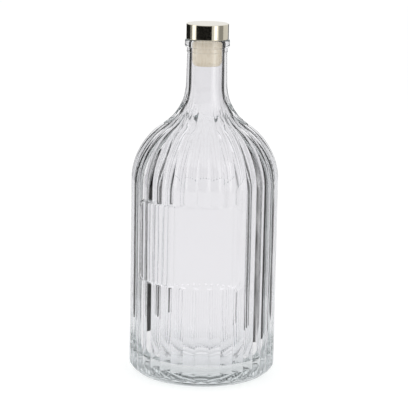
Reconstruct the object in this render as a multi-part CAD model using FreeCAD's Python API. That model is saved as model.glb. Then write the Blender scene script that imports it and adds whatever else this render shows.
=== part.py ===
import FreeCAD, Part
import math
import os

# A clear glass bottle with a reeded body and a push-in stopper. Millimetres, +Z up.
# The origin is the middle of the base, on the plane the bottle stands on.
# The label panels face -Y and +Y.

# Glass body: outer sizes, taken to the crests of the reeds
body_radius = 57.4
body_height = 154.0        # straight wall, up to where the shoulder starts to close
shoulder_radius = 52.8     # the round shoulder, seen from the side
flare_radius = 39.4        # the hollow curve from the shoulder into the neck
neck_radius = 15.9         # at the foot of the neck
neck_length = 33.9         # from the end of the flare up to the rim

# Reeds: upright ribs with round crests, side by side all round the bottle
reed_count = 36
reed_depth = 1.5           # crest to valley on the straight wall
shoulder_sections = 7      # reeded rings that carry the shoulder
flare_sections = 6         # reeded rings that carry the flare

# Heel and foot
heel_radius = 14.0
heel_height = 8.0          # where the heel cuts the crests of the reeds
punt_radius = 40.0         # the hollow under the bottle
punt_depth = 4.0

# Label panels: smooth pads that interrupt the reeds, front and back
panel_low = 80.0
back_panel_low = 55.0      # the pad on the back reaches further down
panel_high = 145.0
panel_reeds = 9            # reeds that one panel takes the place of
panel_proud = 0.2          # how far the pad stands over the crests
panel_corner = 8.0
panel_slope = 1.5          # width of the slope round a pad, down into the valleys

# Glass body: inside sizes
body_wall = 4.8            # measured from the crests
bore_radius = 11.95
floor_thickness = 8.0
floor_corner = 20.0
floor_rise = 0.5           # the floor is a little higher in the middle

# Finish: the bead round the mouth and the narrow band under it
bead_radius = 17.35
bead_height = 6.3
bead_round = 2.0
band_radius = 15.7
band_height = 3.4
neck_draft = 0.55          # the neck is this much slimmer under the band than at its foot
rim_round = 0.8            # inner edge of the mouth

# Stopper
head_radius = 16.4
head_height = 11.75
head_bevel = 0.5
shank_clearance = 0.45     # round the shank, inside the bore
shank_length = 20.6
shank_point = 3.0          # height of the tapered end of the shank
shank_taper = 1.6          # how much narrower that end gets
shank_round = 0.8

AXIS = FreeCAD.Vector(0, 0, 1)
ORIGIN = FreeCAD.Vector(0, 0, 0)
pitch = 2 * math.pi / reed_count


def across(radius, height):
    """A point of an outline: its distance from the bottle's axis and its height."""
    return FreeCAD.Vector(radius, 0, height)


def around(radius, angle, height):
    """A point on the bottle, its angle counted from the middle of the front panel."""
    return FreeCAD.Vector(radius * math.sin(angle), -radius * math.cos(angle), height)


def on_arc(centre, radius, angle):
    """A point of a round stretch of an outline, angle 0 pointing away from the axis."""
    return across(centre.x + radius * math.cos(angle), centre.z + radius * math.sin(angle))


def arc(centre, radius, start, end):
    """A round stretch of an outline, from one angle to the other."""
    middle = on_arc(centre, radius, (start + end) / 2)
    ends = on_arc(centre, radius, start), on_arc(centre, radius, end)
    return Part.Arc(ends[0], middle, ends[1]).toShape()


def lines(*points):
    """Straight stretches of an outline, point to point."""
    return [Part.LineSegment(a, b).toShape() for a, b in zip(points, points[1:])]


def ball_under(reach, rise):
    """The radius of the ball whose cap has this reach from the axis and this rise."""
    return (reach ** 2 + rise ** 2) / (2 * rise)


def turned(edges):
    """The solid that a closed outline sweeps round the bottle's axis."""
    return Part.Face(Part.Wire(edges)).revolve(ORIGIN, AXIS, 360)


def shoulder(wall_radius, mouth_radius, shoulder_arc, flare_arc):
    """The two tangent arcs that lead from a straight wall up into a straight neck:
    the centre of each, and the angle at which they meet."""
    low = across(wall_radius - shoulder_arc, body_height)
    run = mouth_radius + flare_arc - low.x
    rise = math.sqrt((shoulder_arc + flare_arc) ** 2 - run ** 2)
    high = across(mouth_radius + flare_arc, body_height + rise)
    return low, high, math.atan2(rise, run)


low_centre, high_centre, turn = shoulder(body_radius, neck_radius, shoulder_radius, flare_radius)
neck_foot = high_centre.z
rim_height = neck_foot + neck_length
bead_foot = rim_height - bead_height
band_foot = bead_foot - band_height


def reeded_ring(radius, height):
    """A closed ring of round crests. The valleys get shallower as the ring narrows,
    and are gone where it has the neck's radius."""
    depth = reed_depth * (radius - neck_radius) / (body_radius - neck_radius)
    edges = []
    for reed in range(reed_count):
        valley = around(radius - depth, reed * pitch, height)
        crest = around(radius, (reed + 0.5) * pitch, height)
        next_valley = around(radius - depth, (reed + 1) * pitch, height)
        edges.append(Part.Arc(valley, crest, next_valley).toShape())
    return Part.Wire(edges)


def reeded_wall():
    """The straight wall: one reeded ring drawn up, with its foot rounded by the heel."""
    wall = Part.Face(reeded_ring(body_radius, 0)).extrude(AXIS * body_height)
    drop = heel_radius - heel_height
    heel_reach = math.sqrt(heel_radius ** 2 - drop ** 2)
    centre = across(body_radius - heel_reach, heel_radius)
    side = centre.x + heel_radius
    outline = [arc(centre, heel_radius, -math.pi / 2, 0)]
    outline += lines(
        across(side, heel_radius),
        across(side, body_height),
        across(0, body_height),
        ORIGIN,
        across(centre.x, 0),
    )
    return wall.common(turned(outline))


def reeded_shoulder():
    """The closing part: reeded rings set along the shoulder and flare, with one skin."""
    stations = []
    for step in range(shoulder_sections):
        stations.append(on_arc(low_centre, shoulder_radius, turn * step / shoulder_sections))
    for step in range(flare_sections + 1):
        angle = math.pi + turn * (1 - step / flare_sections)
        stations.append(on_arc(high_centre, flare_radius, angle))
    rings = [reeded_ring(point.x, point.z) for point in stations]
    return Part.makeLoft(rings, True, False)


def panel(low):
    """One label pad, in front, from this height up: a sector of the wall with rounded
    corners, whose edge slopes down into the valleys of the reeds."""
    root = body_radius - 2 * panel_slope
    face = body_radius + panel_proud
    width = panel_reeds * pitch
    outline = lines(
        across(root, low),
        across(face, low),
        across(face, panel_high),
        across(root, panel_high),
        across(root, low),
    )
    pad = Part.Face(Part.Wire(outline)).revolve(ORIGIN, AXIS, math.degrees(width))
    pad.rotate(ORIGIN, AXIS, -math.degrees(math.pi + width) / 2)
    corners = [edge for edge in pad.Edges if abs(edge.Length - (face - root)) < 0.001]
    pad = pad.makeFillet(panel_corner, corners)
    for side in pad.Faces:
        u_low, u_high, v_low, v_high = side.ParameterRange
        middle = side.valueAt((u_low + u_high) / 2, (v_low + v_high) / 2)
        if abs(math.hypot(middle.x, middle.y) - face) < 0.001:
            rim = side.OuterWire.Edges
    return pad.makeChamfer(panel_slope, rim)


def neck():
    """The plain neck with its band and bead, solid, up to the rim."""
    bead_edge = bead_radius - bead_round
    bead_low = across(bead_edge, bead_foot + bead_round)
    bead_high = across(bead_edge, rim_height - bead_round)
    outline = lines(
        across(0, neck_foot),
        across(neck_radius, neck_foot),
        across(neck_radius - neck_draft, band_foot),
        across(band_radius, band_foot),
        across(band_radius, bead_foot),
        across(bead_edge, bead_foot),
    )
    outline.append(arc(bead_low, bead_round, -math.pi / 2, 0))
    outline += lines(across(bead_radius, bead_low.z), across(bead_radius, bead_high.z))
    outline.append(arc(bead_high, bead_round, 0, math.pi / 2))
    outline += lines(across(bead_edge, rim_height), across(0, rim_height), across(0, neck_foot))
    return turned(outline)


def inside():
    """The room inside the glass, from the floor to the mouth."""
    wall = body_radius - body_wall
    neck_wall = neck_radius - bore_radius
    arcs = shoulder_radius - body_wall, flare_radius + neck_wall
    low, high, meet = shoulder(wall, bore_radius, *arcs)
    corner = across(wall - floor_corner, floor_thickness + floor_corner)
    crown = across(0, floor_thickness + floor_rise)
    ball = ball_under(corner.x, floor_rise)
    edge = math.asin(corner.x / ball)
    lip = across(bore_radius + rim_round, rim_height - rim_round)
    outline = [arc(across(0, crown.z - ball), ball, math.pi / 2, math.pi / 2 - edge)]
    outline.append(arc(corner, floor_corner, -math.pi / 2, 0))
    outline += lines(across(wall, corner.z), across(wall, body_height))
    outline.append(arc(low, arcs[0], 0, meet))
    outline.append(arc(high, arcs[1], math.pi + meet, math.pi))
    outline += lines(across(bore_radius, high.z), across(bore_radius, lip.z))
    outline.append(arc(lip, rim_round, math.pi, math.pi / 2))
    outline += lines(across(lip.x, rim_height), across(0, rim_height), crown)
    return turned(outline)


def punt():
    """The shallow hollow under the base, part of a ball."""
    ball = ball_under(punt_radius, punt_depth)
    return Part.makeSphere(ball, across(0, punt_depth - ball))


def bottle():
    """The glass, one solid: reeded wall and shoulder, two pads and a plain neck, hollow."""
    front = panel(panel_low)
    back = panel(back_panel_low)
    back.rotate(ORIGIN, AXIS, 180)
    glass = reeded_wall().fuse([front, back, reeded_shoulder(), neck()])
    return glass.cut([inside(), punt()])


def stopper_head():
    """The metal head, which rests on the rim."""
    head = Part.makeCylinder(head_radius, head_height, across(0, rim_height))
    return head.makeChamfer(head_bevel, [edge for edge in head.Edges if edge.Closed])


def stopper_shank():
    """The shank under the head, inside the neck, with a tapered end."""
    radius = bore_radius - shank_clearance
    foot = rim_height - shank_length
    tip = across(radius - shank_taper - shank_round, foot + shank_round)
    outline = lines(across(0, rim_height), across(0, foot), across(tip.x, foot))
    outline.append(arc(tip, shank_round, -math.pi / 2, 0))
    outline += lines(
        across(tip.x + shank_round, tip.z),
        across(radius, foot + shank_point),
        across(radius, rim_height),
        across(0, rim_height),
    )
    return turned(outline)


os.makedirs("parts", exist_ok=True)
pieces = {
    "glass_bottle": bottle(),
    "stopper_head": stopper_head(),
    "stopper_shank": stopper_shank(),
}
for name, piece in pieces.items():
    piece.exportStep("parts/" + name + ".step")
    box = piece.BoundBox
    print(name, piece.isValid(), "solids", len(piece.Solids), "faces", len(piece.Faces),
          "cm3", round(piece.Volume / 1000, 1), "top", round(box.ZMax, 2))
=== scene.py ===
# %% [markdown]
# # A reeded glass bottle with a metal-topped stopper
#
# This file dresses a small CAD model for a picture: a clear glass bottle pressed with
# upright reeds, two smooth label pads, and a stopper with a pale gold metal head on a
# beige shank. Glass has no colour of its own to paint. Its looks come from its true
# shape, its real wall thickness and what stands round it, so most of the work goes into
# those three. All sizes are in metres, +Z is up, and the front pad faces -Y.

import math

import bpy
import numpy as np
from mathutils import Matrix, Vector


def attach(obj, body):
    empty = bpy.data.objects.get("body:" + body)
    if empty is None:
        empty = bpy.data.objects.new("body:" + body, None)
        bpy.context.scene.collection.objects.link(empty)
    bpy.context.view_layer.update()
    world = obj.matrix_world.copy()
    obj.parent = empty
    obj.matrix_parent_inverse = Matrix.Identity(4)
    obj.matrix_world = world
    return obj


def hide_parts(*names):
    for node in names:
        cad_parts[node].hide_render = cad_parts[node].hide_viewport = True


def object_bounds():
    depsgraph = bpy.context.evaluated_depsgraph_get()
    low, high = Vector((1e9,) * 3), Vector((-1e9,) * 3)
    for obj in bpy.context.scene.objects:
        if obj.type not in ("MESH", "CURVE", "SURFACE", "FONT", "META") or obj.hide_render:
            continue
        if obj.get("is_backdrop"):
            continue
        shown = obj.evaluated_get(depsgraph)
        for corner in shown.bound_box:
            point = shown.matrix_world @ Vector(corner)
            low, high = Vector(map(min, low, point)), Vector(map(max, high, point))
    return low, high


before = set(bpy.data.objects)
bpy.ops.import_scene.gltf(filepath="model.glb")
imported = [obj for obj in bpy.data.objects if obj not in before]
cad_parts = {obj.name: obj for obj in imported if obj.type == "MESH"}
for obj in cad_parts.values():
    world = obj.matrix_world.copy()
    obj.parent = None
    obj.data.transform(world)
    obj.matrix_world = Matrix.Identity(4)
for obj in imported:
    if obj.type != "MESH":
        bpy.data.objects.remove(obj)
cad_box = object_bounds()
mm = 0.001
print("CAD nodes:", sorted(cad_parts), "box", cad_box)

# %% [markdown]
# ## The camera
#
# A product shot of a bottle is taken from some way off with a long lens, so that its
# sides stay nearly parallel, and from a little above, so that the mouth and the foot
# show as flat ovals. The camera could be aimed with a Track To constraint, but a
# plain matrix built from three directions says exactly what it does, roll included.

# %% Camera
camera_angle = math.radians(15.0)
camera_turn = math.radians(0.0106)
camera_distance = 1.4416
camera_height = 0.4493
camera_pitch = math.radians(-12.31)
camera_roll = math.radians(1.07)

to_axis = Vector((-math.sin(camera_angle), math.cos(camera_angle), 0))
aim = camera_angle + camera_turn
ahead = Vector((-math.sin(aim), math.cos(aim), 0))
level_right = Vector((math.cos(aim), math.sin(aim), 0))
forward = ahead * math.cos(camera_pitch) + Vector((0, 0, math.sin(camera_pitch)))
level_up = level_right.cross(forward)
right = level_right * math.cos(camera_roll) + level_up * math.sin(camera_roll)
up = level_up * math.cos(camera_roll) - level_right * math.sin(camera_roll)

camera_data = bpy.data.cameras.new("camera")
camera_data.lens = 166.2
camera_data.sensor_width = 36.0
camera = bpy.data.objects.new("camera", camera_data)
place = Matrix((right, up, -forward)).transposed().to_4x4()
place.translation = -to_axis * camera_distance + Vector((0, 0, camera_height))
camera.matrix_world = place
bpy.context.scene.collection.objects.link(camera)
bpy.context.scene.camera = camera
print("camera at", [round(x, 3) for x in place.translation], "lens", round(camera_data.lens, 1))

# %% [markdown]
# ## Small helpers for node trees
#
# Every material, and the tree that presses the reeds, is a graph of nodes. One helper
# adds a node, fills its sockets in order and hands the node back. Others fill sockets by
# name, do a sum or start a material, so that a graph reads almost like the formula it
# stands for.

# %% Node helpers
def feed(tree, socket, value):
    """Links a socket to another one, or sets its number or colour."""
    if isinstance(value, bpy.types.NodeSocket):
        tree.links.new(value, socket)
    elif value is not None:
        socket.default_value = value


def add(tree, kind, *inputs, **settings):
    """A new node. Each input is a number to set, a socket to link, or None to leave."""
    node = tree.nodes.new(kind)
    for name, value in settings.items():
        setattr(node, name, value)
    for socket, value in zip(node.inputs, inputs):
        feed(tree, socket, value)
    return node


def fill(tree, node, **inputs):
    """Fills a node's sockets by name, with _ for a space, and hands the node back."""
    for name, value in inputs.items():
        feed(tree, node.inputs[name.replace("_", " ")], value)
    return node


def calc(tree, operation, *inputs):
    """The result of one Math node."""
    return add(tree, "ShaderNodeMath", *inputs, operation=operation).outputs[0]


def material(name):
    """An empty material: its node tree and its output node."""
    made = bpy.data.materials.new(name)
    made.use_nodes = True
    made.node_tree.nodes.clear()
    return made, made.node_tree, made.node_tree.nodes.new("ShaderNodeOutputMaterial")


def own_place(tree):
    """Where a point lies on its object."""
    return tree.nodes.new("ShaderNodeTexCoord").outputs["Object"]


# %% [markdown]
# ## The room
#
# Clear glass is mostly a window: what a viewer calls its colour is the room behind it.
# The room here is a white one, with a floor that fades into it. Light Path nodes let it
# be plain white for rays that come straight from the camera, off the metal or through
# the glass, and dimmer as a source of light, so that pale surfaces don't burn out. The
# glass itself then takes away what real glass does, a little at each face. The floor,
# though, is painted a little darker where it is seen through the glass, and glows less
# there: a painted shade that greys the glass's clear middle. A brighter lamp could
# whiten the floor as well, but it would bleach the stopper too.

# %% World
def by_ray(tree, straight, mirrored, through, lighting):
    """A different value for rays from the camera, off a gloss, through glass, and for
    all the rest, which only carry light."""
    path = tree.nodes.new("ShaderNodeLightPath").outputs
    refracted = path["Is Transmission Ray"]
    glossy = calc(tree, "MULTIPLY", path["Is Glossy Ray"], calc(tree, "SUBTRACT", 1.0, refracted))
    value = calc(tree, "MULTIPLY_ADD", glossy, mirrored - lighting, lighting)
    value = calc(tree, "MULTIPLY_ADD", refracted, through - lighting, value)
    return calc(tree, "MULTIPLY_ADD", path["Is Camera Ray"], straight - lighting, value)


room_light = 0.8
world = bpy.data.worlds.new("room")
world.use_nodes = True
bpy.context.scene.world = world
background = world.node_tree.nodes["Background"]
background.inputs["Color"].default_value = (1, 1, 1, 1)
level = by_ray(world.node_tree, straight=1.0, mirrored=1.0, through=1.0, lighting=room_light)
world.node_tree.links.new(level, background.inputs["Strength"])
print("world level for light alone:", room_light)

# %% Floor
floor_paint, tree, output = material("floor_paint")
grain = fill(tree, add(tree, "ShaderNodeTexNoise"), Scale=40)
shade = add(tree, "ShaderNodeMapRange", grain.outputs[0], 0.0, 1.0, 0.88, 0.92).outputs[0]
# Painted shade: seen through the glass, the floor's colour is a tenth darker, and below its glow
# is about half as strong, so the glass's clear middle looks grey.
painted_shade_through_glass = by_ray(tree, straight=1.0, mirrored=1.0, through=0.9, lighting=1.0)
shade = calc(tree, "MULTIPLY", shade, painted_shade_through_glass)
matt = add(tree, "ShaderNodeBsdfDiffuse", shade).outputs[0]
lift = by_ray(tree, straight=0.3, mirrored=0.2, through=0.16, lighting=0.0)
glow = add(tree, "ShaderNodeEmission", (1, 1, 1, 1), lift).outputs[0]
tree.links.new(add(tree, "ShaderNodeAddShader", matt, glow).outputs[0], output.inputs[0])

reach = 12.0
floor_mesh = bpy.data.meshes.new("floor")
floor_corners = [(-reach, -reach, 0), (reach, -reach, 0), (reach, reach, 0), (-reach, reach, 0)]
floor_mesh.from_pydata(floor_corners, [], [(0, 1, 2, 3)])
floor_mesh.materials.append(floor_paint)
floor = bpy.data.objects.new("floor", floor_mesh)
floor.location.z = -0.1 * mm
bpy.context.scene.collection.objects.link(floor)
floor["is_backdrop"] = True
print("floor", 2 * reach, "m across")

# %% [markdown]
# ## Cards
#
# A glass in an all white room has hardly an edge. So dark cards are stood close beside
# and behind it, out of the picture: the steep flanks of the reeds bend the line of
# sight round to them and turn dark, while the flat middle looks straight past them.
# Black lamps don't exist, and painting dark stripes on the glass would be a lie that
# breaks as soon as the view turns, so real cards it is. They glow faintly in place of
# taking light, and the camera and the soft light of the room don't see them. Their
# upright edges fade, as the edge of a card does that stands out of focus.

# %% Card paint
edge_shade = 0.75


def card_paint(name, start, end, shade, soft):
    """A faint glow of this shade, which fades to a pale one over the card's last few
    degrees on either side."""
    paint, tree, output = material(name)
    x, y = add(tree, "ShaderNodeSeparateXYZ", own_place(tree)).outputs[:2]
    middle = math.radians((start + end) / 2)
    sine, cosine = math.sin(middle), math.cos(middle)
    ahead = calc(tree, "ADD", calc(tree, "MULTIPLY", x, sine), calc(tree, "MULTIPLY", y, -cosine))
    aside = calc(tree, "ADD", calc(tree, "MULTIPLY", x, cosine), calc(tree, "MULTIPLY", y, sine))
    off = calc(tree, "ABSOLUTE", calc(tree, "ARCTAN2", aside, ahead))
    half = math.radians(end - start) / 2
    fade_from = half - math.radians(soft)
    fade = add(tree, "ShaderNodeMapRange", off, fade_from, half, shade, max(shade, edge_shade))
    fade.interpolation_type = "SMOOTHSTEP"
    glow = add(tree, "ShaderNodeEmission", (1, 1, 1, 1), fade.outputs[0]).outputs[0]
    tree.links.new(glow, output.inputs[0])
    paint.cycles.emission_sampling = "NONE"
    return paint


# %% Card shape
def card(name, start, end, distance, low, high, shade, soft=1.0, glossy=True, through=True):
    """A curved card round the bottle, from one angle to another in degrees, counted
    from -Y towards +X. Only reflections and rays through glass see it."""
    steps = 24
    points, faces = [], []
    for step in range(steps + 1):
        angle = math.radians(start + (end - start) * step / steps)
        x, y = distance * math.sin(angle), -distance * math.cos(angle)
        points += [(x, y, low), (x, y, high)]
    for step in range(steps):
        a = 2 * step
        faces.append((a, a + 2, a + 3, a + 1))
    mesh = bpy.data.meshes.new(name)
    mesh.from_pydata(points, [], faces)
    mesh.materials.append(card_paint(name, start, end, shade, soft))
    made = bpy.data.objects.new(name, mesh)
    bpy.context.scene.collection.objects.link(made)
    made.visible_camera = False
    made.visible_diffuse = False
    made.visible_shadow = False
    made.visible_glossy = glossy
    made.visible_transmission = through
    made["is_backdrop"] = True
    print("card", name, round(end - start), "degrees wide")


# %% [markdown]
# ## Where the cards stand
#
# Two sets of cards do two different jobs. The far ones are for reflections only: one in
# front gives the polished head its dark middle, and those at the sides and behind give
# the glass a grey skin where it is seen at a flat angle. The near ones, called flags,
# are for rays through the glass only, and draw the dark stripes in the reeds. They keep
# clear of the camera's line of sight straight through the bottle, and stand on short
# feet, so that the stripes stop above the heavy base.

# %% Cards for reflections
view = math.degrees(camera_angle)
far = 0.9
reflected = (
    # name, from, to, distance, top, shade
    ("dark_front", view - 63, view + 24, 1.2, 0.9, 0.012),
    ("grey_left", view - 104, view - 90, far, 1.2, 0.4),
    ("grey_right", view + 64, view + 94, far, 1.2, 0.4),
    ("back_left", view - 160, view - 104, far, 0.5, 0.02),
    ("back_right", view + 145, view + 165, far, 0.5, 0.02),
)
for name, start, end, distance, high, shade in reflected:
    card(name, start, end, distance, 0.0, high, shade, through=False)

# %% Flags behind the glass
near = 0.13
flag_top = 0.5
flag_shade = 0.002
left_foot, right_foot = 15 * mm, 6 * mm
flags = (
    # name, from, to, height of its foot, degrees of soft edge
    ("flag_left_back", view - 143, view - 114, left_foot, 4),
    ("flag_left_side", view - 98, view - 75, left_foot, 3),
    ("flag_right", view + 80, view + 141, right_foot, 4),
)
for name, start, end, feet, soft in flags:
    card(name, start, end, near, feet, flag_top, flag_shade, soft=soft, glossy=False)

# %% [markdown]
# ## Lamps
#
# Two tall soft boxes left and right of the camera. They draw the upright bands of
# light on the metal head and the neck. Area lamps are used because their shape shows in
# a polished surface; a point or sun lamp would leave only a dot.

# %% Lamps
lamp_aim_height = 0.16


def softbox(name, angle, distance, height, width, tall, watts):
    """A lamp with a wide face, turned to the bottle."""
    data = bpy.data.lights.new(name, "AREA")
    data.shape = "RECTANGLE"
    data.size = width
    data.size_y = tall
    data.energy = watts
    lamp = bpy.data.objects.new(name, data)
    angle = math.radians(angle)
    lamp.location = (distance * math.sin(angle), -distance * math.cos(angle), height)
    aim = Vector((0, 0, lamp_aim_height)) - lamp.location
    lamp.rotation_euler = aim.to_track_quat("-Z", "Y").to_euler()
    bpy.context.scene.collection.objects.link(lamp)
    print("lamp", name, watts, "W")


softbox("lamp_left", view - 78, distance=1.1, height=0.5, width=0.45, tall=1.0, watts=1.6)
softbox("lamp_right", view + 46, distance=1.1, height=0.5, width=0.38, tall=1.0, watts=1.6)

# %% [markdown]
# ## Turned outlines
#
# Bottle, head and shank are all round about one axis, as things blown, turned or
# moulded in a round form are. A Screw modifier could turn an outline; a short function
# of our own lets the columns of points stand closer where the reeds will have their
# valleys, closes the mesh on the axis and keeps every size a named one.

# %% Pieces of an outline
def arc(centre, radius, start, end, steps):
    """Points (distance from the axis, height) along a round stretch, angles in degrees."""
    angles = np.radians(np.linspace(start, end, steps + 1))
    return [(centre[0] + radius * math.cos(a), centre[1] + radius * math.sin(a)) for a in angles]


def straight(start, end, steps):
    """Points along a straight stretch."""
    return [tuple(p) for p in np.linspace(start, end, steps + 1)]


def rounded(corners, steps=4, hold=0.15 * mm):
    """An outline with its corners rounded. Each corner is (radius, height, rounding).
    A point just off each end of a rounding keeps the flats beside it flat."""
    points = []
    for index, (x, z, size) in enumerate(corners):
        here = Vector((x, z))
        if index in (0, len(corners) - 1) or not size:
            points.append(tuple(here))
            continue
        before = (Vector(corners[index - 1][:2]) - here).normalized()
        after = (Vector(corners[index + 1][:2]) - here).normalized()
        points.append(tuple(here + before * (size + hold)))
        for step in range(steps + 1):
            s = step / steps
            points.append(tuple(here + before * size * (1 - s) ** 2 + after * size * s ** 2))
        points.append(tuple(here + after * (size + hold)))
    return points


# %% Lathe
def lathe(name, outline, angles):
    """Turns an outline that starts and ends on the axis into a closed mesh, with a
    column of points at each of these angles."""
    rows = np.array(outline[1:-1])
    columns = len(angles)
    ring = np.stack([np.sin(angles), -np.cos(angles)], 1)
    heights = np.broadcast_to(rows[:, None, 1:], (len(rows), columns, 1))
    points = np.concatenate([rows[:, None, :1] * ring[None], heights], 2)
    points = points.reshape(-1, 3).tolist()
    start, end = len(points), len(points) + 1
    points += [(0, 0, outline[0][1]), (0, 0, outline[-1][1])]
    last = (len(rows) - 1) * columns
    faces = []
    for column in range(columns):
        beside = (column + 1) % columns
        faces.append((start, beside, column))
        for row in range(len(rows) - 1):
            a, b = row * columns, (row + 1) * columns
            faces.append((a + column, a + beside, b + beside, b + column))
        faces.append((last + column, last + beside, end))
    mesh = bpy.data.meshes.new(name)
    mesh.from_pydata(points, [], faces)
    mesh.shade_smooth()
    made = bpy.data.objects.new(name, mesh)
    bpy.context.scene.collection.objects.link(made)
    print(name, len(faces), "faces")
    return made


def even(count):
    """This many angles, the same distance apart."""
    return np.arange(count) * 2 * math.pi / count


# %% [markdown]
# ## The bottle's outline
#
# The bottle is one skin: up the outside from the hollow under the base, over the bead of
# the mouth and down the inside to the floor. With both sides of the wall modelled, the
# glass is as thick as the real one, and it is that thickness that bends the light at
# the edges of the neck and in the heavy base. Rows of points stand close together only
# where a pad or the heel will begin, and far apart on the plain wall.

# %% Bottle sizes, outside
body_radius = 57.4 * mm
body_height = 154.0 * mm
shoulder_radius = 52.8 * mm
flare_radius = 39.4 * mm
neck_radius = 15.9 * mm
neck_length = 33.9 * mm
neck_draft = 0.55 * mm
band_radius = 15.7 * mm
band_height = 3.4 * mm
bead_radius = 17.35 * mm
bead_height = 6.3 * mm
bead_round = 2.0 * mm
bead_under_round = 1.6 * mm
heel_radius = 14.0 * mm
heel_height = 8.0 * mm
punt_radius = 40.0 * mm
punt_depth = 4.0 * mm
print("body", round(2 * body_radius / mm, 1), "mm across")

# %% Bottle sizes, inside
body_wall = 4.8 * mm
bore_radius = 11.95 * mm
rim_round = 0.8 * mm
floor_thickness = 8.0 * mm
floor_corner = 20.0 * mm
floor_rise = 0.5 * mm
print("bore", round(2 * bore_radius / mm, 1), "mm across")

# %% Reeds and label pads
reed_count = 36
reed_depth = 1.5 * mm
panel_low = 80.0 * mm
back_panel_low = 55.0 * mm
panel_high = 145.0 * mm
panel_reeds = 9
panel_proud = 0.2 * mm
panel_corner = 8.0 * mm
panel_slope = 1.5 * mm
pitch = 2 * math.pi / reed_count
print("reeds", round(pitch * body_radius / mm, 1), "mm wide")


# %% Shoulder and neck
def shoulder(wall, mouth, shoulder_arc, flare_arc):
    """The two tangent arcs from a straight wall up into the neck: the centre of each,
    and the angle in degrees at which they meet."""
    low = wall - shoulder_arc
    run = mouth + flare_arc - low
    rise = math.sqrt((shoulder_arc + flare_arc) ** 2 - run ** 2)
    meet = math.degrees(math.atan2(rise, run))
    return (low, body_height), (mouth + flare_arc, body_height + rise), meet


def ball_under(reach, rise):
    """The radius of the ball whose cap has this reach and rise, and the angle in
    degrees from its top to its edge."""
    ball = (reach ** 2 + rise ** 2) / (2 * rise)
    return ball, math.degrees(math.asin(reach / ball))


low_out, high_out, meet_out = shoulder(body_radius, neck_radius, shoulder_radius, flare_radius)
neck_foot = high_out[1]
rim_height = neck_foot + neck_length
bead_foot = rim_height - bead_height
band_foot = bead_foot - band_height
print("neck foot", round(neck_foot / mm, 2), "mm, rim", round(rim_height / mm, 2), "mm")

# %% Foot and heel
heel_reach = math.sqrt(heel_radius ** 2 - (heel_radius - heel_height) ** 2)
heel_centre = (body_radius - heel_reach, heel_radius)
punt_ball, punt_edge = ball_under(punt_radius, punt_depth)

heel = []
heel_from, heel_to, heel_gap = 4.0, 14.0, 0.45
for z in np.arange(heel_from, heel_to, heel_gap) * mm:
    heel.append((heel_centre[0] + math.sqrt(heel_radius ** 2 - (z - heel_radius) ** 2), z))
foot = arc((0, punt_depth - punt_ball), punt_ball, 90, 90 - punt_edge, steps=8)[:-1]
foot += [(punt_radius - 0.3 * mm, 0.06 * mm), (punt_radius, 0.0), (punt_radius + 0.4 * mm, 0.0)]
foot += arc(heel_centre, heel_radius, -90, -50, steps=8)
heel_start = heel[0][1] - 0.1 * mm
foot = [(x, z) for x, z in foot if z < heel_start or x < heel_centre[0]]
print("foot", len(foot), "rows, heel", len(heel), "rows")


# %% Wall
def close_rows(edge, below, above):
    """Heights close together about the edge of a pad."""
    return list(np.arange(edge - below, edge + above, 0.6 * mm))


def wide_rows(start, end, count):
    """Heights far apart on the plain wall."""
    return list(np.linspace(start, end, count))


wall_heights = wide_rows(heel_radius, 53 * mm, 8) + close_rows(back_panel_low, 1 * mm, 9.1 * mm)
wall_heights += wide_rows(68 * mm, 77 * mm, 3) + close_rows(panel_low, 1 * mm, 9.1 * mm)
wall_heights += wide_rows(92 * mm, 133 * mm, 7) + close_rows(panel_high, 9 * mm, 2.1 * mm)
wall_heights += [150 * mm, 152 * mm]
wall = [(body_radius, z) for z in wall_heights]
closing = arc(low_out, shoulder_radius, 0, meet_out, steps=26)
closing += arc(high_out, flare_radius, 180 + meet_out, 180, steps=26)[1:]
print("wall", len(wall), "rows, shoulder and flare", len(closing), "rows")

# %% Neck
small_round = 0.3 * mm
mouth_depth = 10 * mm
neck = rounded([
    (neck_radius, neck_foot, 0),
    (neck_radius - neck_draft, band_foot, small_round),
    (band_radius, band_foot, small_round),
    (band_radius, bead_foot, small_round / 2),
    (bead_radius, bead_foot, bead_under_round),
    (bead_radius, rim_height, bead_round),
    (bore_radius, rim_height, rim_round),
    (bore_radius, rim_height - mouth_depth, 0),
])[1:]
print("neck", len(neck), "rows")

# %% Inside
arcs_in = (shoulder_radius - body_wall, flare_radius + neck_radius - bore_radius)
inner_wall = body_radius - body_wall
low_in, high_in, meet_in = shoulder(inner_wall, bore_radius, *arcs_in)
corner = (inner_wall - floor_corner, floor_thickness + floor_corner)
crown = floor_thickness + floor_rise
floor_ball, floor_edge = ball_under(corner[0], floor_rise)

inside = arc(high_in, arcs_in[1], 180, 180 + meet_in, steps=13)
inside += arc(low_in, arcs_in[0], meet_in, 0, steps=13)[1:]
inside += straight((inner_wall, body_height), (inner_wall, corner[1]), steps=20)[1:]
inside += arc(corner, floor_corner, 0, -90, steps=10)[1:]
inside += arc((0, crown - floor_ball), floor_ball, 90 - floor_edge, 90, steps=8)[1:]
print("inside", len(inside), "rows, floor", round(crown / mm, 2), "mm high in the middle")

# %% Turn the bottle
outside = foot + heel + wall + closing + neck
outline = outside + inside
columns_of_a_reed = np.array([0.0, 0.13, 0.48, 1.5, 3.2, 5.0, 6.8, 8.5, 9.52, 9.87]) / 10
angles = (even(reed_count)[:, None] + columns_of_a_reed[None] * pitch).ravel()
bottle = lathe("bottle", outline, angles)

# %% [markdown]
# ## Pressing the reeds
#
# On the real bottle the mould presses upright reeds into the glass. They are deepest on
# the wall, run out up the shoulder and stop at two smooth label pads and at the round
# heel. They could be carved, or cut with booleans, but a Geometry Nodes tree that moves
# each point towards or away from the axis keeps the mesh clean: the wall's own rows
# carry the reeds, and every depth and edge is an input of the tree. Three marks on the
# points say where the crests run, how far out the heel lets them stand, and which
# points belong to the inner wall, where a much weaker echo of the reeds and some
# unevenness of the blown glass are all that show.

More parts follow.
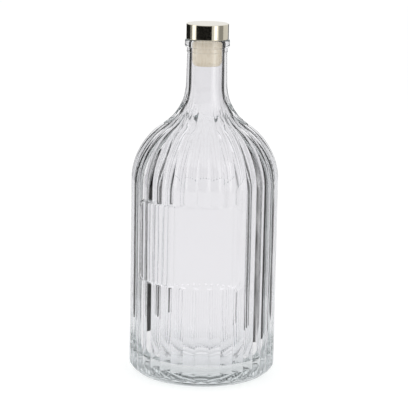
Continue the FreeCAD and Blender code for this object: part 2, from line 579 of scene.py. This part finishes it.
# %% Marks for the reeds
crest = np.zeros(len(outline))
limit = np.ones(len(outline))
inner = np.zeros(len(outline))
fade_up = 30 * mm
fade_out = 8 * mm
heel_ends = len(foot + heel)
reeds_end = len(foot + heel + wall + closing)
for row, (x, z) in enumerate(outline):
    if len(foot) <= row < reeds_end:
        crest[row] = min(x, body_radius)
    if len(foot) <= row < heel_ends:
        crest[row] = body_radius
        limit[row] = x
    if row >= len(outside) and z > corner[1]:
        from_floor = (z - corner[1]) / fade_up
        from_bore = (x - bore_radius) / fade_out
        inner[row] = min(1.0, from_floor, max(0.0, from_bore))
for name, values in (("crest", crest), ("limit", limit), ("inner", inner)):
    mark = bottle.data.attributes.new(name, "FLOAT", "POINT")
    spread = np.concatenate([np.repeat(values[1:-1], len(angles)), [0, 0]])
    mark.data.foreach_set("value", spread.astype(np.float32))
    print("mark", name, "from", round(values.min(), 4), "to", round(values.max(), 4))

# %% [markdown]
# ## The tree and its inputs
#
# The tree is a group of nodes with a named input for each size. Blend is the small
# radius with which a reed runs into a pad or the heel. Echo is the share of the reeds'
# depth that the inner wall repeats, and Waves and Streaks are how uneven it is, in
# broad dents and in narrow upright ones. Noise textures give both, and they need no
# seed: they depend only on where a point is.

# %% Inputs of the tree
press = bpy.data.node_groups.new("Reeds", "GeometryNodeTree")
press.interface.new_socket("Geometry", in_out="INPUT", socket_type="NodeSocketGeometry")
press.interface.new_socket("Geometry", in_out="OUTPUT", socket_type="NodeSocketGeometry")
settings = {
    "Reed Count": reed_count,
    "Reed Depth": reed_depth,
    "Body Radius": body_radius,
    "Neck Radius": neck_radius,
    "Pad Half Width": panel_reeds / 2 * pitch * body_radius,
    "Pad Low": panel_low,
    "Back Pad Low": back_panel_low,
    "Pad High": panel_high,
    "Pad Corner": panel_corner,
    "Pad Slope": panel_slope,
    "Pad Face": body_radius + panel_proud,
    "Blend": 0.15 * mm,
    "Echo": 0.12,
    "Waves": 0.35 * mm,
    "Streaks": 0.12 * mm,
}
keys = {}
for name in settings:
    keys[name] = press.interface.new_socket(name, in_out="INPUT", socket_type="NodeSocketFloat")
given = press.nodes.new("NodeGroupInput").outputs
print("tree with", len(keys), "sizes as inputs")


# %% Helpers for the tree
def node(operation, *inputs):
    """The result of one Math node in the tree."""
    return calc(press, operation, *inputs)


def marked(attribute):
    """What a mark says at each point."""
    read = add(press, "GeometryNodeInputNamedAttribute", data_type="FLOAT")
    read.inputs["Name"].default_value = attribute
    return read.outputs["Attribute"]


# %% Round crests
position = press.nodes.new("GeometryNodeInputPosition").outputs[0]
x, y, z = add(press, "ShaderNodeSeparateXYZ", position).outputs
angle = node("ARCTAN2", x, node("MULTIPLY", y, -1.0))
radius = node("SQRT", node("MULTIPLY_ADD", x, x, node("MULTIPLY", y, y)))
turn = node("DIVIDE", node("MULTIPLY", angle, given["Reed Count"]), 2 * math.pi)
across = node("ABSOLUTE", node("MULTIPLY_ADD", node("FRACT", turn), 2.0, -1.0))
across_squared = node("MULTIPLY", across, across)
full_fade = node("SUBTRACT", given["Body Radius"], given["Neck Radius"])
fade = node("DIVIDE", node("SUBTRACT", marked("crest"), given["Neck Radius"]), full_fade)
valley = node("MULTIPLY", across_squared, node("MULTIPLY", given["Reed Depth"], fade))
reeded = node("SUBTRACT", marked("crest"), valley)
print("reeds:", len(press.nodes), "nodes so far")

# %% [markdown]
# ## The label pads
#
# Each pad is a rounded rectangle laid round the wall. For every point the tree works out
# how far it is outside that rectangle, lets the pad slope down by as much, and keeps
# whichever stands out further, pad or reed. That is how the real mould has it too: the
# pad cuts into the reeds and its edge falls away into their valleys. The distance needs
# no drawing of the pad, and its corners stay round at any size.

# %% Label pads
front_angle = node("ABSOLUTE", angle)
pad_angle = node("MINIMUM", front_angle, node("SUBTRACT", math.pi, front_angle))
behind = node("GREATER_THAN", y, 0.0)
lower_by = node("SUBTRACT", given["Back Pad Low"], given["Pad Low"])
pad_low = node("MULTIPLY_ADD", behind, lower_by, given["Pad Low"])
middle = node("MULTIPLY", node("ADD", pad_low, given["Pad High"]), 0.5)
half = node("MULTIPLY", node("SUBTRACT", given["Pad High"], pad_low), 0.5)
side = node("SUBTRACT", node("MULTIPLY", pad_angle, given["Body Radius"]),
            node("SUBTRACT", given["Pad Half Width"], given["Pad Corner"]))
tall = node("SUBTRACT", node("ABSOLUTE", node("SUBTRACT", z, middle)),
            node("SUBTRACT", half, given["Pad Corner"]))
out_side, out_tall = node("MAXIMUM", side, 0.0), node("MAXIMUM", tall, 0.0)
tall_squared = node("MULTIPLY", out_tall, out_tall)
beyond = node("SQRT", node("MULTIPLY_ADD", out_side, out_side, tall_squared))
within = node("MINIMUM", node("MAXIMUM", side, tall), 0.0)
edge = node("SUBTRACT", node("ADD", beyond, within), given["Pad Corner"])
slope = node("MAXIMUM", node("ADD", edge, given["Pad Slope"]), 0.0)
pad = node("SUBTRACT", given["Pad Face"], slope)
pressed = node("SMOOTH_MAX", reeded, pad, given["Blend"])
pressed = node("SMOOTH_MIN", pressed, marked("limit"), given["Blend"])
print("pads and heel:", len(press.nodes), "nodes so far")

# %% Uneven inner wall
unroll_radius = 57 * mm
upright_stretch = 0.16
waves = fill(press, add(press, "ShaderNodeTexNoise"), Scale=28.0, Detail=1.0)
round_the_wall = node("MULTIPLY", angle, unroll_radius)
up_the_wall = node("MULTIPLY", z, upright_stretch)
unrolled = add(press, "ShaderNodeCombineXYZ", round_the_wall, 0.0, up_the_wall).outputs[0]
streaks = fill(press, add(press, "ShaderNodeTexNoise", unrolled), Scale=170.0, Detail=1.0)
uneven = node("MULTIPLY", node("SUBTRACT", waves.outputs[0], 0.5), given["Waves"])
uneven = node("MULTIPLY_ADD", node("SUBTRACT", streaks.outputs[0], 0.5), given["Streaks"], uneven)
echo_depth = node("MULTIPLY", given["Echo"], given["Reed Depth"])
echo = node("MULTIPLY", echo_depth, node("SUBTRACT", 0.5, across_squared))
dented = node("MULTIPLY_ADD", node("ADD", uneven, echo), marked("inner"), radius)
print("inner wall:", len(press.nodes), "nodes so far")

# %% Move the points
hardly = 0.0001
is_inner = node("GREATER_THAN", marked("inner"), hardly)
chosen = node("MULTIPLY_ADD", node("SUBTRACT", dented, pressed), is_inner, pressed)
scale = node("DIVIDE", chosen, radius)
stretch = add(press, "ShaderNodeCombineXYZ", scale, scale, 1.0).outputs[0]
moved = add(press, "ShaderNodeVectorMath", position, stretch, operation="MULTIPLY").outputs[0]
moves = add(press, "FunctionNodeCompare", node("ADD", marked("crest"), is_inner), hardly,
            data_type="FLOAT", operation="GREATER_THAN").outputs[0]
shift = add(press, "GeometryNodeSetPosition", given["Geometry"], moves, moved).outputs[0]
real = add(press, "GeometryNodeRealizeInstances", shift).outputs[0]
clad = add(press, "GeometryNodeSetMaterial", real)
leave = press.nodes.new("NodeGroupOutput")
press.links.new(clad.outputs[0], leave.inputs[0])
print("whole tree:", len(press.nodes), "nodes")

# %% [markdown]
# ## The glass
#
# Soda-lime glass bends light by 1.5 and takes out a little red, so it looks faintly
# cool where it is thick and clear where it is thin. A tinted surface would colour thin
# and thick glass alike, so that is kept to a trace; Volume Absorption makes the colour
# grow with the way the light has to go. A faint ripple in the skin, as a mould leaves,
# keeps reflections from being as straight as on a machined part. For rays that only
# carry light the glass counts as nearly transparent, which gives the pale shadow of
# real glass without noise.

# %% Glass skin
glass, tree, output = material("clear_glass")
place = own_place(tree)
ripple = fill(tree, add(tree, "ShaderNodeTexNoise", place), Scale=55.0, Detail=2.0)
skin = fill(tree, add(tree, "ShaderNodeBump"), Strength=0.25, Distance=0.25 * mm,
            Height=ripple.outputs[0])
film = fill(tree, add(tree, "ShaderNodeTexNoise", place), Scale=14.0)
gloss = add(tree, "ShaderNodeMapRange", film.outputs[0], 0.35, 0.75, 0.0, 0.012).outputs[0]
shader = fill(tree, tree.nodes.new("ShaderNodeBsdfPrincipled"),
              Base_Color=(0.99, 0.983, 1.0, 1), IOR=1.5, Transmission_Weight=1.0,
              Roughness=gloss, Normal=skin.outputs[0])
print("glass bends light by", shader.inputs["IOR"].default_value)

# %% Glass shadow and colour
path = tree.nodes.new("ShaderNodeLightPath").outputs
carries_light = calc(tree, "MAXIMUM", path["Is Shadow Ray"], path["Is Diffuse Ray"])
pale = add(tree, "ShaderNodeBsdfTransparent", (0.93, 0.94, 0.94, 1)).outputs[0]
mixed = add(tree, "ShaderNodeMixShader", carries_light, shader.outputs[0], pale).outputs[0]
tree.links.new(mixed, output.inputs["Surface"])
absorb = fill(tree, tree.nodes.new("ShaderNodeVolumeAbsorption"),
              Color=(0.80, 0.83, 0.83, 1), Density=18.0)
tree.links.new(absorb.outputs[0], output.inputs["Volume"])
print("absorption density", absorb.inputs["Density"].default_value)

# %% [markdown]
# ## Applying the tree
#
# The modifier gets its inputs, is evaluated once, and its result becomes a plain mesh. A
# live modifier would do for a picture, but a plain mesh is what travels on.

# %% Apply
clad.inputs["Material"].default_value = glass
modifier = bottle.modifiers.new("Reeds", "NODES")
modifier.node_group = press
for name, value in settings.items():
    modifier[keys[name].identifier] = float(value)
ready = bottle.evaluated_get(bpy.context.evaluated_depsgraph_get())
finished = bpy.data.meshes.new_from_object(ready)
bottle.modifiers.clear()
bottle.data = finished
bottle.data.shade_smooth()
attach(bottle, "root")
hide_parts("glass_bottle")
print("bottle", len(finished.polygons), "faces", [m.name for m in finished.materials])

# %% [markdown]
# ## The stopper's head
#
# The head is a turned and lacquered metal cap with small bevelled edges, pale gold. A
# cylinder with a Bevel modifier would do, but the lathe above gives the same and keeps
# all turned pieces alike. Metal shows little but its surroundings, so its finish lies
# in roughness: fine rings from turning on top, and a lacquer that is not quite even.

# %% Head
head_radius = 16.4 * mm
head_height = 11.75 * mm
head_bevel = 0.5 * mm
top = rim_height + head_height
head_outline = rounded([
    (0, rim_height, 0),
    (head_radius, rim_height, head_bevel),
    (head_radius, top, head_bevel),
    (0, top, 0),
])
head = lathe("head", head_outline, even(192))
print("head's top at", round(top / mm, 2), "mm")

# %% Gilt metal
metal, tree, output = material("gilt_metal")
place = own_place(tree)
x, y, z = add(tree, "ShaderNodeSeparateXYZ", place).outputs
from_axis = calc(tree, "SQRT", calc(tree, "MULTIPLY_ADD", x, x, calc(tree, "MULTIPLY", y, y)))
ring_place = add(tree, "ShaderNodeCombineXYZ", from_axis, 0.0, z).outputs[0]
rings = fill(tree, add(tree, "ShaderNodeTexNoise", ring_place), Scale=2600.0)
cloud = fill(tree, add(tree, "ShaderNodeTexNoise", place), Scale=120.0)
lacquer = calc(tree, "MULTIPLY", cloud.outputs[0], 0.07)
sheen = calc(tree, "ADD", calc(tree, "MULTIPLY_ADD", rings.outputs[0], 0.07, lacquer), 0.035)
grooves = fill(tree, add(tree, "ShaderNodeBump"), Strength=0.15, Distance=0.02 * mm,
               Height=rings.outputs[0])
shader = fill(tree, tree.nodes.new("ShaderNodeBsdfPrincipled"),
              Base_Color=(0.61, 0.57, 0.465, 1), Metallic=1.0,
              Roughness=sheen, Normal=grooves.outputs[0])
tree.links.new(shader.outputs[0], output.inputs["Surface"])
head.data.materials.append(metal)
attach(head, "root")
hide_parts("stopper_head")
print("gilt metal:", len(tree.nodes), "nodes")

# %% [markdown]
# ## The stopper's shank
#
# Under the head sits a beige shank of pressed cork or its moulded copy, with a tapered
# end. It is matt, and seen only through the glass of the neck. Its grain is fine and
# runs upright, so a stretched Noise shifts the colour a little; a picture of cork would
# be the usual way, but at this size a procedural grain is as good and has no seam.

# %% Shank
shank_clearance = 0.45 * mm
shank_length = 20.6 * mm
shank_point = 3.0 * mm
shank_taper = 1.6 * mm
shank_round = 0.8 * mm
shank_radius = bore_radius - shank_clearance
shank_foot = rim_height - shank_length
shank_outline = rounded([
    (0, shank_foot, 0),
    (shank_radius - shank_taper, shank_foot, shank_round),
    (shank_radius, shank_foot + shank_point, 0.6 * mm),
    (shank_radius, rim_height, 0.2 * mm),
    (0, rim_height, 0),
])
shank = lathe("shank", shank_outline, even(144))
print("shank", round(shank_radius / mm, 2), "mm in radius")

# %% Pale cork
cork, tree, output = material("pale_cork")
upright = fill(tree, add(tree, "ShaderNodeMapping", own_place(tree)), Scale=(1, 1, 0.3))
fibre = fill(tree, add(tree, "ShaderNodeTexNoise", upright.outputs[0]), Scale=900.0, Detail=4.0)
tone = add(tree, "ShaderNodeValToRGB", fibre.outputs[0])
dark_grain, light_grain = tone.color_ramp.elements
dark_grain.position = 0.3
dark_grain.color = (0.84, 0.71, 0.53, 1)
light_grain.position = 0.6
light_grain.color = (0.95, 0.84, 0.68, 1)
pores = fill(tree, add(tree, "ShaderNodeBump"), Strength=0.4, Distance=0.05 * mm,
             Height=fibre.outputs[0])
shader = fill(tree, tree.nodes.new("ShaderNodeBsdfPrincipled"), Roughness=0.6,
              Base_Color=tone.outputs[0], Normal=pores.outputs[0])
tree.links.new(shader.outputs[0], output.inputs["Surface"])
shank.data.materials.append(cork)
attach(shank, "root")
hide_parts("stopper_shank")
print("pale cork:", len(tree.nodes), "nodes")

# %% [markdown]
# ## Finish
#
# Light that crosses a ribbed bottle passes many faces of glass. With too few bounces it
# is cut off and the glass gets black specks, so the limits are set well above what a
# wooden thing would need.

# %% Finish
scene = bpy.context.scene
scene.view_settings.view_transform = "Standard"
scene.cycles.max_bounces = 32
scene.cycles.transmission_bounces = 32
scene.cycles.glossy_bounces = 24
scene.cycles.transparent_max_bounces = 16
visual_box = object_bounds()
boxes = {"cad": cad_box, "visual": visual_box}
for name, box in boxes.items():
    boxes[name] = [[float(v) for v in corner] for corner in box]
print("visual box", visual_box)
